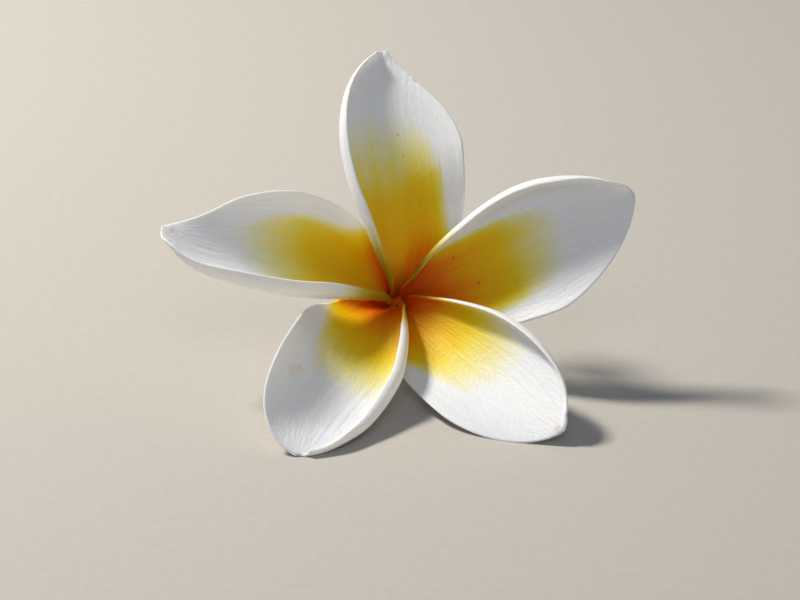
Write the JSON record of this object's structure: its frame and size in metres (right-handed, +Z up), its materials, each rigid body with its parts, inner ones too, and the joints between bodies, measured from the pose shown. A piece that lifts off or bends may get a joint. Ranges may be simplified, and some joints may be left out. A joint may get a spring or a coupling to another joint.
{
  "type": "frangipani flower",
  "caption": "Fallen frangipani blossom: cupped white petals with a yellow throat, overlapping like a pinwheel, resting on two petals and the end of its tube.",
  "frame": {"origin": "middle of the flower's outline, on the surface that it rests on", "axes": "+Z up, the flower's face towards -Y and up, +X to the right of someone who looks into its face"},
  "size_m": [0.0746, 0.054, 0.0471],
  "materials": {
    "petal": "soft satin, white with a yellow throat",
    "tube": "matte, cream to pale green",
    "anther": "matte, dusty yellow"
  },
  "bodies": {
    "root": {"petal_up_right": "petal", "petal_top": "petal", "petal_left": "petal", "petal_low_left": "petal", "petal_low_right": "petal", "corolla_tube": "tube", "stamens": "anther"}
  },
  "joints": []
}
